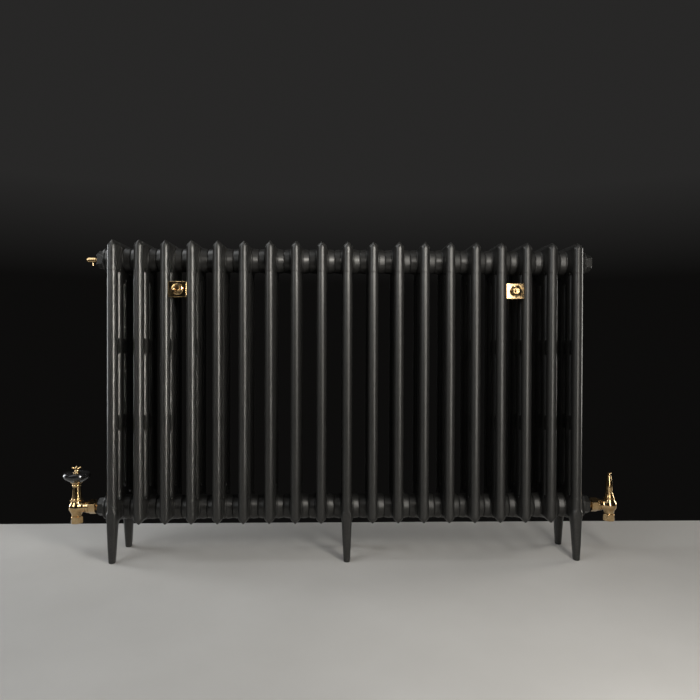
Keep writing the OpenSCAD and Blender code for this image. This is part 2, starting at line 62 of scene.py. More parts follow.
# ---- Driving sizes, in millimetres ----

section_names = sorted(n for n in nodes if n.startswith("section_"))
plain_low, plain_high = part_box(section_names[1])
section_h = plain_high.z / MM
keel_z = plain_low.z / MM
hub_low_z = centre_of("bottom_nipples").z / MM
hub_high_z = centre_of("top_nipples").z / MM
hub_y = centre_of("bottom_nipples").y
half_depth = (plain_high.y - plain_low.y) / MM / 2
face_x = (plain_high.x - plain_low.x) / MM / 2

column_r = 11.25
column_d = 27.0
column_pitch = 36.5
outer_column = 1.5 * column_pitch
tent_half_w = 16.0
tent_half_l = 68.0
ridge_corner_r = 16.0
hub_r = 29.0
hub_bore_r = 21.0
foot_w = 15.0
outer_slot_inset = 26.0
middle_slot_inset = 48.0
bridge_shares = (0.348, 0.652)
bridge_half_w = 7.0
bridge_half_h = 17.0
bridge_heights = [hub_low_z + share * (hub_high_z - hub_low_z) for share in bridge_shares]


# ---- Fields: signed distances whose zero surface is the casting ----

def smooth_union(a, b, radius):
    """The part that is inside either a or b, with a fillet where they meet."""
    overlap = np.maximum(radius - np.abs(a - b), 0.0) / radius
    return np.minimum(a, b) - overlap * overlap * radius / 4


def smooth_cut(a, b, radius):
    """The part that is inside both a and b, with its edge rounded."""
    return -smooth_union(-a, -b, radius)


def smooth_step(value, start, end):
    """Rises from 0 at start to 1 at end."""
    share = np.clip((value - start) / (end - start), 0.0, 1.0)
    return share * share * (3 - 2 * share)


def box_field(u, v, half_u, half_v, corner_r):
    """A rectangle with rounded corners, from two distances measured from its middle."""
    du = np.abs(u) - half_u + corner_r
    dv = np.abs(v) - half_v + corner_r
    outside = np.hypot(np.maximum(du, 0.0), np.maximum(dv, 0.0))
    return outside + np.minimum(np.maximum(du, dv), 0.0) - corner_r


def tent_half_width(depth):
    """Half width of the ridge at a depth below its edge: near 45 degrees, slightly hollow flanks."""
    flare = np.clip(depth / tent_half_w, 0.0, 1.4)
    return depth * (0.9 + 0.14 * flare)


def chamber_field(across, along, z, hub_z, away):
    """One end chamber. away is +1 for the top one, whose slots lie below it, and -1 for the bottom one."""
    from_hub = (hub_z - z) * away
    bulge = np.maximum(tent_half_w * (1 - (along / tent_half_l) ** 2) - column_r, 0.0)
    bulge_share = 1 - smooth_step(from_hub, 14.0, 32.0)
    half_w = column_r - 0.5 + bulge * bulge_share
    nose = np.maximum(along - (half_depth - column_r), 0.0)
    plan = (np.hypot(across * column_r / half_w, nose) - column_r) * 0.95
    slot_half = (column_pitch - column_d) / 2
    to_slot = column_pitch / 2 - np.abs(np.abs(along - column_pitch) - column_pitch / 2)
    inside_slot = np.clip(to_slot, 0.0, slot_half)
    arch = slot_half - np.sqrt(np.maximum(slot_half ** 2 - inside_slot ** 2, 0.0))
    middle_share = 1 - smooth_step(along, 15.0, 21.0)
    inset = outer_slot_inset + (middle_slot_inset - outer_slot_inset) * middle_share
    return smooth_cut(plan, from_hub - inset - arch, 1.5)


def hub_field(across, along, z, hub_z):
    """A pair of round bosses that narrow towards the joints, each with a neck beside the column."""
    radius = np.hypot(along, z - hub_z)
    taper = 0.15 * (across - 19.0)
    neck = 1.6 * (1 - smooth_step(across, 13.0, 16.5))
    return smooth_cut(radius - (hub_r - taper - neck), across - face_x, 1.4)


def foot_field(across, y, z):
    """The front foot: it tapers from the column's width to a flat pad, with a web that sweeps up inside."""
    pad_middle = -(outer_column + 3.0)
    pad_half_l = 9.0
    pad_front, pad_back = pad_middle - pad_half_l, pad_middle + pad_half_l
    rise = np.clip(z, 0.0, 130.0)
    front = np.minimum(pad_front - 1.5 * smooth_step(rise, 0.0, 42.0), 0.0)
    back = pad_back + 0.095 * rise + 1.95e-7 * rise ** 4
    half_w = foot_w / 2 + (column_r - foot_w / 2) * np.clip(rise / keel_z, 0.0, 1.0) ** 0.85
    half_w = half_w - 3.5 * smooth_step(y - front, 14.0, 34.0)
    plan = smooth_cut(smooth_cut(front - y, y - back, 4.0), across - half_w, 9.0)
    return smooth_cut(smooth_cut(plan, -z, 1.6), z - hub_low_z, 6.0)


def ridge_drop(along):
    """How far the ridge has fallen at a distance from the hub: it rounds down at the front and back."""
    past = np.clip(along - half_depth + ridge_corner_r, 0.0, ridge_corner_r)
    return ridge_corner_r - np.sqrt(ridge_corner_r ** 2 - past ** 2)


def section_field(x, y, z, footed):
    """One section about its middle: columns, chambers with ridge and keel, bridges, hubs and feet."""
    along = np.abs(y)
    from_column = np.abs(np.abs(along - column_pitch) - column_pitch / 2)
    narrowing = smooth_step(z, hub_high_z - 60.0, hub_high_z + 10.0)
    body = np.hypot(x, np.maximum(from_column - column_d / 2 + column_r, 0.0)) - column_r + narrowing
    for hub_z, away in ((hub_high_z, 1), (hub_low_z, -1)):
        body = smooth_union(body, chamber_field(np.abs(x), along, z, hub_z, away), 1.6)
    for bridge_z in bridge_heights:
        web = box_field(x, z - bridge_z, bridge_half_w, bridge_half_h, 3.0)
        body = smooth_union(body, smooth_cut(web, along - outer_column, 2.0), 3.0)
    drop = ridge_drop(along)
    across = np.sqrt(x * x + 1.0) - 0.6
    slant = 0.72
    body = smooth_cut(body, (across - tent_half_width(section_h - drop - z)) * slant, 2.2)
    body = smooth_cut(body, (across - tent_half_width(z - keel_z - drop)) * slant, 2.2)
    if footed:
        body = smooth_union(body, foot_field(np.abs(x), -along, z), 7.0)
    body = smooth_cut(body, along - half_depth, 1.0)
    for hub_z in (hub_high_z, hub_low_z):
        body = smooth_union(body, hub_field(np.abs(x), along, z, hub_z), 2.2)
    for hub_z in (hub_high_z, hub_low_z):
        body = np.maximum(body, hub_bore_r - np.hypot(along, z - hub_z))
    return body


def valve_field(x, y, z):
    """Angle valve body: a ball with a pipe inlet below, an outlet horn towards +X and a bonnet seat."""
    upright = np.hypot(x, y)
    level = np.hypot(y, z)
    ball = np.sqrt(x * x + y * y + (z + 1) ** 2) - 18.0
    inlet = smooth_cut(upright - 11.8, np.abs(z + 11.0) - 10.5, 1.4)
    thread = smooth_cut(upright - 10.6, np.abs(z + 22.0) - 11.0, 0.8)
    neck = smooth_cut(upright - 13.0, np.abs(z - 7.0) - 8.0, 1.0)
    flare = 11.3 + 3.3 * smooth_step(x, 19.0, 26.0)
    horn = smooth_cut(level - flare, np.abs(x - 15.0) - 15.5, 1.2)
    spigot = smooth_cut(level - 13.0, np.abs(x - 28.0) - 9.5, 0.8)
    body = smooth_union(ball, inlet, 4.0)
    body = smooth_union(body, horn, 5.0)
    body = smooth_union(body, neck, 2.0)
    body = np.minimum(np.minimum(body, thread), spigot)
    hollows = (
        np.maximum(upright - 7.6, z + 16.0),
        np.maximum(upright - 5.0, np.abs(z + 10.0) - 8.0),
        np.maximum(upright - 9.0, -4.0 - z),
        np.maximum(upright - 10.05, 4.0 - z),
        np.maximum(level - 6.5, -x),
    )
    for hollow in hollows:
        body = np.maximum(body, -hollow)
    return body


def finial_field(x, y, z):
    """Brass cap of the handwheel: four flared arms that rise from a waisted stem."""
    upright = np.hypot(x, y)
    base = smooth_cut(upright - 8.0 + 3.2 * smooth_step(z, 1.4, 4.2), np.abs(z - 3.2) - 3.2, 1.0)
    stem = smooth_cut(upright - 4.3, np.abs(z - 6.5) - 5.5, 1.6)
    body = smooth_union(base, stem, 1.6)
    knob = np.sqrt(x * x + y * y + (z - 11.6) ** 2) - 4.3
    body = smooth_union(body, knob, 1.4)
    tilt = math.radians(20)
    for turn in range(4):
        angle = math.radians(20 + 90 * turn)
        out = x * math.cos(angle) + y * math.sin(angle)
        side = y * math.cos(angle) - x * math.sin(angle)
        up = z - 9.8
        reach = out * math.cos(tilt) + up * math.sin(tilt)
        lift = up * math.cos(tilt) - out * math.sin(tilt)
        thickness = 1.9 + 1.1 * smooth_step(reach, 4.0, 9.8)
        arm = smooth_cut(np.hypot(side, lift) - thickness, np.abs(reach - 5.4) - 5.4, 1.2)
        body = smooth_union(body, arm, 1.5)
    return body


def vent_field(x, y, z):
    """Air vent along +X from the bush: neck, ringed body and a spout that points down."""
    level = np.hypot(y, z)
    thread = smooth_cut(level - 4.8, np.abs(x + 4.5) - 4.4, 0.6)
    neck = smooth_cut(level - 3.3, np.abs(x - 4.0) - 5.0, 0.6)
    washer = smooth_cut(level - 5.2, np.abs(x - 1.2) - 1.0, 0.7)
    spout_x = 15.0
    from_spout = np.abs(x - spout_x)
    groove = 0.5 * smooth_step(from_spout, 1.2, 2.0) * (1 - smooth_step(from_spout, 6.2, 7.0))
    body = smooth_cut(level - (6.0 - groove), np.abs(x - 16.5) - 8.5, 1.2)
    spout_r = np.hypot(x - spout_x, y)
    spout = smooth_cut(spout_r - 1.9 - 0.5 * smooth_step(-z, 10.5, 12.5), np.abs(z + 7.0) - 7.0, 0.5)
    shape = smooth_union(smooth_union(thread, neck, 0.8), washer, 0.8)
    shape = smooth_union(smooth_union(shape, body, 1.2), spout, 1.6)
    screw_hole = np.maximum(level - 3.25, 11.0 - x)
    spout_hole = np.maximum(spout_r - 0.9, z)
    water_hole = level - 1.5
    for hollow in (screw_hole, spout_hole, water_hole):
        shape = np.maximum(shape, -hollow)
    return shape


# ---- Meshes ----

def crossing_points(grid, spots, axis):
    """Where the field crosses zero along the grid lines of one axis."""
    low = [slice(None)] * 3
    high = [slice(None)] * 3
    low[axis] = slice(None, -1)
    high[axis] = slice(1, None)
    a, b = grid[tuple(low)], grid[tuple(high)]
    where = np.argwhere((a < 0) != (b < 0))
    index = tuple(where.T)
    share = a[index] / (a[index] - b[index])
    points = np.stack([spots[i][where[:, i]] for i in range(3)], axis=1)
    step = spots[axis][where[:, axis] + 1] - spots[axis][where[:, axis]]
    points[:, axis] += share * step
    return where, points, a[index] < 0


def net_mesh(field, spots):
    """Surface net on a rectilinear grid: a vertex in each crossed cell, a face round each crossed line."""
    grid = field(spots[0][:, None, None], spots[1][None, :, None], spots[2][None, None, :])
    cells = tuple(n - 1 for n in grid.shape)
    total = np.zeros((np.prod(cells), 3))
    count = np.zeros(np.prod(cells))
    quads = []
    for axis in range(3):
        where, points, rising = crossing_points(grid, spots, axis)
        side_a, side_b = (axis + 1) % 3, (axis + 2) % 3
        ring, inside = [], np.ones(len(where), bool)
        for shift_a, shift_b in ((-1, -1), (0, -1), (0, 0), (-1, 0)):
            cell = where.copy()
            cell[:, side_a] += shift_a
            cell[:, side_b] += shift_b
            inside &= np.all((cell >= 0) & (cell < cells), axis=1)
            ring.append(cell)
        keep = [np.ravel_multi_index(tuple(cell[inside].T), cells) for cell in ring]
        for flat in keep:
            np.add.at(total, flat, points[inside])
            np.add.at(count, flat, 1)
        faces = np.stack(keep, axis=1)
        faces[~rising[inside]] = faces[~rising[inside]][:, ::-1]
        quads.append(faces)
    quads = np.concatenate(quads)
    used = np.unique(quads)
    lookup = np.full(len(count), -1)
    lookup[used] = np.arange(len(used))
    return total[used] / count[used][:, None], lookup[quads]


def slope_of(field, points, step=0.05):
    """The field's gradient at each point, from differences either side of it."""
    slope = np.zeros_like(points)
    for axis in range(3):
        move = np.zeros(3)
        move[axis] = step
        ahead = field(*(points + move).T)
        behind = field(*(points - move).T)
        slope[:, axis] = (ahead - behind) / (2 * step)
    return slope


def settle(field, points, reach, rounds=5):
    """Moves each vertex on to the field's zero surface and returns it with its outward normal."""
    for _ in range(rounds):
        slope = slope_of(field, points)
        square = np.maximum((slope ** 2).sum(axis=1), 0.05)
        step = np.clip(field(*points.T) / square, -reach, reach)
        points = points - step[:, None] * slope
    slope = slope_of(field, points)
    return points, slope / np.maximum(np.linalg.norm(slope, axis=1), 1e-6)[:, None]


def field_mesh(name, field, spots, reach):
    """The field's surface over the grid lines, with smooth shading. reach limits how far a vertex settles."""
    points, quads = net_mesh(field, spots)
    points, normals = settle(field, points, reach)
    mesh = bpy.data.meshes.new(name)
    mesh.from_pydata((points * MM).tolist(), [], quads.tolist())
    mesh.polygons.foreach_set("use_smooth", np.ones(len(mesh.polygons), bool))
    mesh.normals_split_custom_set_from_vertices(normals.tolist())
    mesh.update()
    return mesh


def stretches(*parts):
    """Grid lines from (start, end, spacing) stretches that follow each other."""
    lines = [np.linspace(a, b, max(2, round((b - a) / s) + 1))[:-1] for a, b, s in parts]
    return np.concatenate(lines + [np.array([parts[-1][1]])])


def section_mesh(name, footed):
    """Fine grid lines at the ends and bridges, wide ones along the plain columns."""
    fine, wide = 1.9, 36.0
    end_reach, bridge_reach = 62.0, 22.0
    across = np.linspace(-face_x - 1.3, face_x + 1.3, 36)
    deep = np.linspace(-half_depth - 1.2, half_depth + 1.2, 74)
    start = (0.0 if footed else keel_z) - 1.5
    parts = [(start, hub_low_z + end_reach, fine)]
    for bridge_z in bridge_heights:
        parts.append((parts[-1][1], bridge_z - bridge_reach, wide))
        parts.append((bridge_z - bridge_reach, bridge_z + bridge_reach, fine))
    parts.append((parts[-1][1], hub_high_z - end_reach, wide))
    parts.append((hub_high_z - end_reach, section_h + 1.5, fine))
    spots = (across, deep, stretches(*parts))
    return field_mesh(name, lambda x, y, z: section_field(x, y, z, footed), spots, 0.6)


def rounded(points, radius, steps=4):
    """Rounds the inner corners of an open outline with short arcs."""
    made = [points[0]]
    for before, corner, after in zip(points, points[1:], points[2:]):
        a, c, b = (Vector(p[:2]) for p in (before, corner, after))
        to_a, to_b = a - c, b - c
        turn = to_a.angle(to_b) if min(to_a.length, to_b.length) > 1e-6 else math.pi
        if turn > math.radians(172):
            made.append(corner)
            continue
        cut = min(radius / math.tan(turn / 2), 0.45 * to_a.length, 0.45 * to_b.length)
        start, end = c + to_a.normalized() * cut, c + to_b.normalized() * cut
        for i in range(steps + 1):
            t = i / steps
            made.append(tuple(start * (1 - t) ** 2 + c * 2 * t * (1 - t) + end * t ** 2))
    made.append(points[-1])
    return made


def polygon_limit(sides, across_flats, corner_r=0.7):
    """Angles round a regular polygon with eased corners, and its radius at each."""
    half = math.pi / sides
    flat = across_flats / 2
    inner = (flat - corner_r) / math.cos(half)
    ease = math.atan2(corner_r * math.sin(half), inner + corner_r * math.cos(half))
    turns = list(np.linspace(-ease, ease, 7)) + list(np.linspace(ease, 2 * half - ease, 16))[1:-1]
    angles, limits = [], []
    for side in range(sides):
        for turn in turns:
            off = abs(turn)
            if off <= ease + 1e-9:
                across = inner * math.sin(off)
                limit = inner * math.cos(off) + math.sqrt(max(corner_r ** 2 - across ** 2, 0))
            else:
                limit = flat / math.cos(half - turn)
            angles.append(2 * half * side + turn)
            limits.append(limit)
    return np.array(angles), np.array(limits)


def rectangle_limit(width, height, corner_r, count=128):
    """The same for a rectangle with round corners."""
    angles = np.linspace(0, 2 * math.pi, count, endpoint=False)
    reach = np.full(count, min(width, height) / 2)
    for _ in range(40):
        u, v = reach * np.cos(angles), reach * np.sin(angles)
        reach = reach - box_field(u, v, width / 2, height / 2, corner_r)
    return angles, reach


def turned_mesh(name, rows, limit=None, closed=False, segments=96):
    """A lathe shape about +Z from (height, radius) rows. A third value of a row holds it within the limit
    outline, drawn in by that much. A closed one joins its last row to its first. Others end in a point
    or a cap."""
    if limit is None:
        limit = (np.linspace(0, 2 * math.pi, segments, endpoint=False), None)
    angles, outline = limit
    count = len(angles)
    points = []
    for row in rows:
        radii = np.full(count, float(row[1]))
        if len(row) > 2:
            radii = np.minimum(radii, outline - row[2])
        ring = np.stack([radii * np.cos(angles), radii * np.sin(angles), np.full(count, row[0])], axis=1)
        points.append(ring)
    points = np.concatenate(points)
    bands = len(rows) if closed else len(rows) - 1
    faces = []
    for band in range(bands):
        a, b = band * count, ((band + 1) % len(rows)) * count
        for i in range(count):
            j = (i + 1) % count
            faces.append((a + i, a + j, b + j, b + i))
    if not closed:
        faces.append(tuple(reversed(range(count))))
        faces.append(tuple(range(bands * count, (bands + 1) * count)))
    mesh = bpy.data.meshes.new(name)
    mesh.from_pydata((points * MM).tolist(), [], faces)
    mesh.polygons.foreach_set("use_smooth", np.ones(len(mesh.polygons), bool))
    mesh.set_sharp_from_angle(angle=math.radians(32))
    mesh.update()
    return mesh


flat_steps = 7


def flats(start, end, corner, ease):
    """Rows of a nut's sides: a cone at each end cuts the polygon's corners to arcs."""
    shares = [i / flat_steps for i in range(flat_steps + 1)]
    rising = [(start + ease * share, corner - ease * (1 - share), 0.0) for share in shares]
    return rising + [(end - ease * (1 - share), corner - ease * share, 0.0) for share in shares]


# ---- Materials ----

def new_material(name):
    material = bpy.data.materials.new(name)
    material.use_nodes = True
    tree = material.node_tree
    shader = tree.nodes["Principled BSDF"]
    place = tree.nodes.new("ShaderNodeTexCoord")
    return material, tree, shader, place.outputs["Object"]


def noise(tree, place, scale, detail=3.0, roughness=0.55):
    node = tree.nodes.new("ShaderNodeTexNoise")
    node.inputs["Scale"].default_value = scale
    node.inputs["Detail"].default_value = detail
    node.inputs["Roughness"].default_value = roughness
    tree.links.new(place, node.inputs["Vector"])
    return node.outputs["Fac"]


def ramp(tree, value, low, high, start=0.3, end=0.7):
    """Maps a pattern to values or colours between two stops."""
    node = tree.nodes.new("ShaderNodeValToRGB")
    for element, at, colour in zip(node.color_ramp.elements, (start, end), (low, high)):
        element.position = at
        element.color = (*colour, 1.0) if isinstance(colour, tuple) else (colour, colour, colour, 1.0)
    tree.links.new(value, node.inputs["Fac"])
    return node.outputs["Color"]


def bump(tree, height, distance, strength):
    node = tree.nodes.new("ShaderNodeBump")
    node.inputs["Distance"].default_value = distance
    node.inputs["Strength"].default_value = strength
    tree.links.new(height, node.inputs["Height"])
    return node.outputs["Normal"]


def blend_colours(tree, factor, first, second):
    """Mixes two varying colours by a fixed share of the second."""
    node = tree.nodes.new("ShaderNodeMix")
    node.data_type = "RGBA"
    node.inputs["Factor"].default_value = factor
    tree.links.new(first, node.inputs[6])
    tree.links.new(second, node.inputs[7])
    return node.outputs[2]


def iron_material():
    """Dark gunmetal paint over a sand-cast surface."""
    material, tree, shader, place = new_material("iron_paint")
    patches = noise(tree, place, 16.0, 4.0)
    grain = noise(tree, place, 520.0, 3.0, 0.6)
    base = ramp(tree, patches, (0.030, 0.0295, 0.028), (0.047, 0.046, 0.0435))
    fleck = ramp(tree, grain, (0.022, 0.0215, 0.020), (0.072, 0.070, 0.066), 0.38, 0.68)
    tree.links.new(blend_colours(tree, 0.45, base, fleck), shader.inputs["Base Color"])
    tree.links.new(ramp(tree, grain, 0.30, 0.44), shader.inputs["Roughness"])
    shader.inputs["Metallic"].default_value = 0.62
    tree.links.new(bump(tree, grain, 0.00004, 0.5), shader.inputs["Normal"])
    return material


def brass_material():
    """Lacquered brass, cloudy where the lacquer has dulled. Its colour is darker than clean brass: painted
    shade for the dark surroundings that the polish mirrors.
    """
    material, tree, shader, place = new_material("polished_brass")
    # The tint is darker than clean brass: painted shade for dark reflections.
    shaded_tint, polish = (0.64, 0.46, 0.245), 0.09
    cloud = noise(tree, place, 55.0, 4.0)
    hair = noise(tree, place, 900.0, 2.0)
    dull = tuple(c * s for c, s in zip(shaded_tint, (0.74, 0.66, 0.55)))
    tree.links.new(ramp(tree, cloud, dull, shaded_tint, 0.32, 0.58), shader.inputs["Base Color"])
    tree.links.new(ramp(tree, cloud, polish + 0.14, polish, 0.3, 0.62), shader.inputs["Roughness"])
    shader.inputs["Metallic"].default_value = 1.0
    tree.links.new(bump(tree, hair, 0.00001, 0.3), shader.inputs["Normal"])
    return material


def plain_material(name, low, high, roughness, metallic, grain_scale, grain_depth):
    """A surface whose colour and roughness wander between two values, over a fine grain."""
    material, tree, shader, place = new_material(name)
    cloud = noise(tree, place, grain_scale / 8, 3.0)
    grain = noise(tree, place, grain_scale, 3.0)
    tree.links.new(ramp(tree, cloud, low, high), shader.inputs["Base Color"])
    tree.links.new(ramp(tree, grain, roughness[0], roughness[1]), shader.inputs["Roughness"])
    shader.inputs["Metallic"].default_value = metallic
    tree.links.new(bump(tree, grain, grain_depth, 0.5), shader.inputs["Normal"])
    return material


def wheel_material():
    """Moulded gloss black with faint dust and hairline wear."""
    low, high = (0.006, 0.006, 0.0065), (0.012, 0.0115, 0.011)
    material = plain_material("wheel_gloss", low, high, (0.14, 0.24), 0.0, 420.0, 0.00003)
    shader = material.node_tree.nodes["Principled BSDF"]
    shader.inputs["Coat Weight"].default_value = 0.35
    shader.inputs["Coat Roughness"].default_value = 0.05
    return material


materials = {
    "iron": iron_material(),
    "brass": brass_material(),
    "wheel_black": wheel_material(),
    "nipple_steel": plain_material(
        "machined_steel", (0.36, 0.36, 0.37), (0.55, 0.55, 0.56), (0.25, 0.42), 1.0, 700.0, 0.00004
    ),
    "gasket": plain_material(
        "gasket_rubber", (0.010, 0.010, 0.010), (0.022, 0.021, 0.020), (0.6, 0.8), 0.0, 500.0, 0.0001
    ),
    "packing": plain_material(
        "pressed_fibre", (0.20, 0.055, 0.035), (0.34, 0.12, 0.08), (0.7, 0.9), 0.0, 900.0, 0.0001
    ),
}
slot_of = {part["node"]: part["material_slot"] for part in frame["record"]["subparts"]}
body_of = {n: body for body, members in frame["record"]["behaviour"]["bodies"].items() for n in members}


def place_piece(mesh, node, matrix):
    """Puts a finished mesh where its CAD node is, on the same body and with the same material slot."""
    piece = bpy.data.objects.new(node + "_piece", mesh)
    bpy.context.scene.collection.objects.link(piece)
    piece.matrix_world = matrix
    if not mesh.materials:
        mesh.materials.append(materials[slot_of[node]])
    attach(piece, body_of[node])
    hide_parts(node)
    return piece


def weigh_normals(piece):
    """Keeps flat faces flat in the shading where they meet small rounded edges."""
    modifier = piece.modifiers.new("flat_faces", "WEIGHTED_NORMAL")
    modifier.keep_sharp = True
    modifier.weight = 80


def axes(x_axis, y_axis, z_axis, origin):
    """A matrix whose columns are the piece's own axes in the frame."""
    matrix = Matrix.Identity(4)
    for column, axis in enumerate((x_axis, y_axis, z_axis)):
        for row in range(3):
            matrix[row][column] = axis[row]
    matrix.translation = origin
    return matrix


def facing(direction, origin):
    """A lathe's +Z turned to a direction, with its first corner up, or to the right when facing front."""
    turned = {
        "left": ((0, 0, 1), (0, 1, 0), (-1, 0, 0)),
        "right": ((0, 0, 1), (0, -1, 0), (1, 0, 0)),
        "up": ((1, 0, 0), (0, 1, 0), (0, 0, 1)),
        "front": ((1, 0, 0), (0, 0, 1), (0, -1, 0)),
    }
    return axes(*turned[direction], origin)


def turned_piece(node, rows, direction, origin, **shape):
    """A lathe shape in place of a CAD node, on an axis through the origin."""
    piece = place_piece(turned_mesh(node + "_mesh", rows, **shape), node, facing(direction, origin))
    weigh_normals(piece)


# ---- Sections ----

def make_sections():
    """Every section shares one of two castings: plain, or with feet."""
    castings = {False: section_mesh("plain_casting", False), True: section_mesh("footed_casting", True)}
    for name in section_names:
        low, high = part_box(name)
        footed = low.z < keel_z * MM / 2
        middle = Vector(((low.x + high.x) / 2, hub_y, 0.0))
        place_piece(castings[footed], name, Matrix.Translation(middle))


# ---- End fittings ----

bush_af = 38.0
flange_r = 27.5
gasket_t = 1.0
flange_end = 6.0
bush_end = 20.5
thread_r = hub_bore_r - 0.05


def bush_rows(bore_r):
    """Thread, flange and hexagon of an end bush, or of a blank plug when its bore is 0."""
    corner = bush_af / math.sqrt(3)
    outside = rounded([
        (-13.0, thread_r - 1.0), (-12.0, thread_r), (gasket_t, thread_r), (gasket_t, flange_r),
        (flange_end - 0.8, flange_r), (flange_end, flange_r - 1.6), (flange_end, corner - 1.2),
    ], 0.5, 3)
    sides = flats(flange_end, bush_end, corner, 1.6)[flat_steps + 1:]
    sides.insert(0, (flange_end + 0.02, corner, 0.0))
    if bore_r == 0:
        end = [(bush_end, 15.0), (bush_end - 0.6, 13.8), (bush_end - 0.6, 0.0)]
        return [(-13.0, 0.0)] + outside + sides + end
    end = [(bush_end, bore_r + 1.2), (bush_end - 1.2, bore_r), (-13.0, bore_r)]
    return outside + sides + end


def hub_face(side, hub_z):
    """Centre of the last hub's face at one end of the row, in metres."""
    last = section_names[0] if side < 0 else section_names[-1]
    low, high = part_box(last)
    return Vector((low.x if side < 0 else high.x, hub_y, hub_z * MM))


def make_bushes():
    hexagon = polygon_limit(6, bush_af, 1.0)
    ends = (
        ("bush_top_left", -1, hub_high_z, 4.85),
        ("bush_bottom_left", -1, hub_low_z, 10.35),
        ("bush_bottom_right", 1, hub_low_z, 10.35),
        ("plug_top_right", 1, hub_high_z, 0.0),
    )
    for node, side, hub_z, bore_r in ends:
        direction = "left" if side < 0 else "right"
        face = hub_face(side, hub_z)
        turned_piece(node, bush_rows(bore_r), direction, face, limit=hexagon, closed=bore_r > 0)


def make_vent():
    origin = hub_face(-1, hub_high_z) + Vector((-bush_end * MM, 0, 0))
    spots = (stretches((-9.6, 25.6, 0.5)), stretches((-6.6, 6.6, 0.5)), stretches((-14.6, 6.6, 0.5)))
    mesh = field_mesh("air_vent_mesh", vent_field, spots, 0.2)
    outwards = axes((-1, 0, 0), (0, -1, 0), (0, 0, 1), origin)
    place_piece(mesh, "air_vent_body", outwards)
    end = 25.0
    collar = rounded([
        (end - 9, 0.0), (end - 6, 3.2), (end + 0.3, 3.2), (end + 0.3, 4.8), (end + 1.6, 4.8), (end + 1.6, 3.4)
    ], 0.3, 3)
    key = [(end + 1.61, 3.4, 0.0), (end + 4.1, 3.4, 0.0), (end + 4.5, 3.0, 0.3), (end + 4.5, 0.0)]
    turned_piece("air_vent_screw", collar + key, "left", origin, limit=polygon_limit(4, 5.0, 0.5))


# ---- Valves, drawn about the upright axis with heights from the outlet's centre ----

union_x = 31.0
union_l = 16.0
union_af = 30.0
valve_reach = 74.5
pipe_nut_low = -38.7
pipe_nut_high = -22.2
pipe_nut_af = 25.0
wheel_seat = 80.5


def valve_origin(wheel_node):
    middle = centre_of(wheel_node)
    return Vector((middle.x, middle.y, hub_low_z * MM))


def body_mesh():
    fine = 0.85
    spots = (stretches((-19.0, 38.5, fine)), stretches((-19.0, 19.0, fine)), stretches((-34.0, 16.0, fine)))
    return field_mesh("angle_body_mesh", valve_field, spots, 0.35)


def make_valve_body(prefix, body, origin, towards):
    """The ball, nuts and tailpiece, which both valves have. towards is the outlet's direction."""
    side = 1 if towards == "right" else -1
    place_piece(body, prefix + "_body", axes((side, 0, 0), (0, side, 0), (0, 0, 1), origin))

    nut = flats(union_x, union_x + union_l, union_af / math.sqrt(3), 1.7)
    inside = [(union_x + union_l, 8.8), (union_x + 11, 8.8), (union_x + 11, 13.05), (union_x, 13.05)]
    limit = polygon_limit(6, union_af, 0.8)
    turned_piece(prefix + "_union_nut", nut + inside, towards, origin, limit=limit, closed=True)

    start, thread = union_x + 6.8, valve_reach - bush_end + 0.2
    tail = rounded([
        (start, 6.5), (start, 11.6), (start + 3.5, 11.6), (start + 3.5, 8.5), (thread, 8.5), (thread, 10.3),
        (thread + 15, 10.3), (thread + 15, 6.5)
    ], 0.4, 3)
    turned_piece(prefix + "_tailpiece", tail, towards, origin, closed=True)

    nut = flats(pipe_nut_low, pipe_nut_high, pipe_nut_af / math.sqrt(3), 1.5)
    shelf = pipe_nut_low + 2.1
    inside = [(pipe_nut_high, 10.65), (shelf, 10.65), (shelf, 7.7), (pipe_nut_low, 7.7)]
    limit = polygon_limit(6, pipe_nut_af, 0.7)
    turned_piece(prefix + "_pipe_nut", nut + inside, "up", origin, limit=limit, closed=True)


def bonnet_rows(bead_r, neck):
    """Thread, bead ring and neck outside; the disc's room, the packing's pocket and the bore inside."""
    outside = rounded([
        (4.5, 7.4), (4.5, 10.0), (15.0, 10.0), (15.0, bead_r - 1.2), (15.9, bead_r), (17.6, bead_r),
        (18.5, bead_r - 1.2)
    ] + neck, 0.6, 4)
    inside = [(24.0, 4.05), (24.0, 6.2), (18.0, 6.2), (18.0, 7.4)]
    return outside + inside


def make_handwheel(origin):
    """Bonnet, collar, dished wheel and finial of the left valve."""
    turned_piece("valve_bonnet", bonnet_rows(15.3, [
        (18.9, 12.4), (21.0, 11.7), (34.0, 10.5), (48.0, 9.4), (50.5, 9.7), (52.2, 10.9), (54.0, 10.2),
        (54.0, 4.05)
    ]), "up", origin, closed=True)
    collar = rounded([
        (54.5, 4.05), (54.5, 9.6), (55.4, 10.8), (56.6, 11.0), (57.6, 12.0), (58.6, 14.6), (60.0, 15.6),
        (60.0, 4.05)
    ], 0.5, 4)
    turned_piece("wheel_collar", collar, "up", origin, closed=True)
    wheel = rounded([
        (60.05, 4.05), (60.05, 15.2), (61.6, 18.0), (64.6, 23.0), (68.2, 27.6), (72.0, 30.4), (75.6, 31.0),
        (79.0, 30.4), (81.3, 28.6), (82.0, 26.2), (81.4, 24.4), (80.3, 22.6), (79.6, 18.0), (79.5, 12.0),
        (80.2, 9.6), (wheel_seat, 8.6), (wheel_seat, 7.0), (wheel_seat, 4.05)
    ], 1.6, 5)
    turned_piece("handwheel", wheel, "up", origin, closed=True, segments=144)
    fine = 0.45
    level = stretches((-11.6, 11.6, fine))
    mesh = field_mesh("finial_mesh", finial_field, (level, level, stretches((-0.8, 17.2, fine))), 0.2)
    place_piece(mesh, "wheel_finial", Matrix.Translation(origin + Vector((0, 0, wheel_seat * MM))))


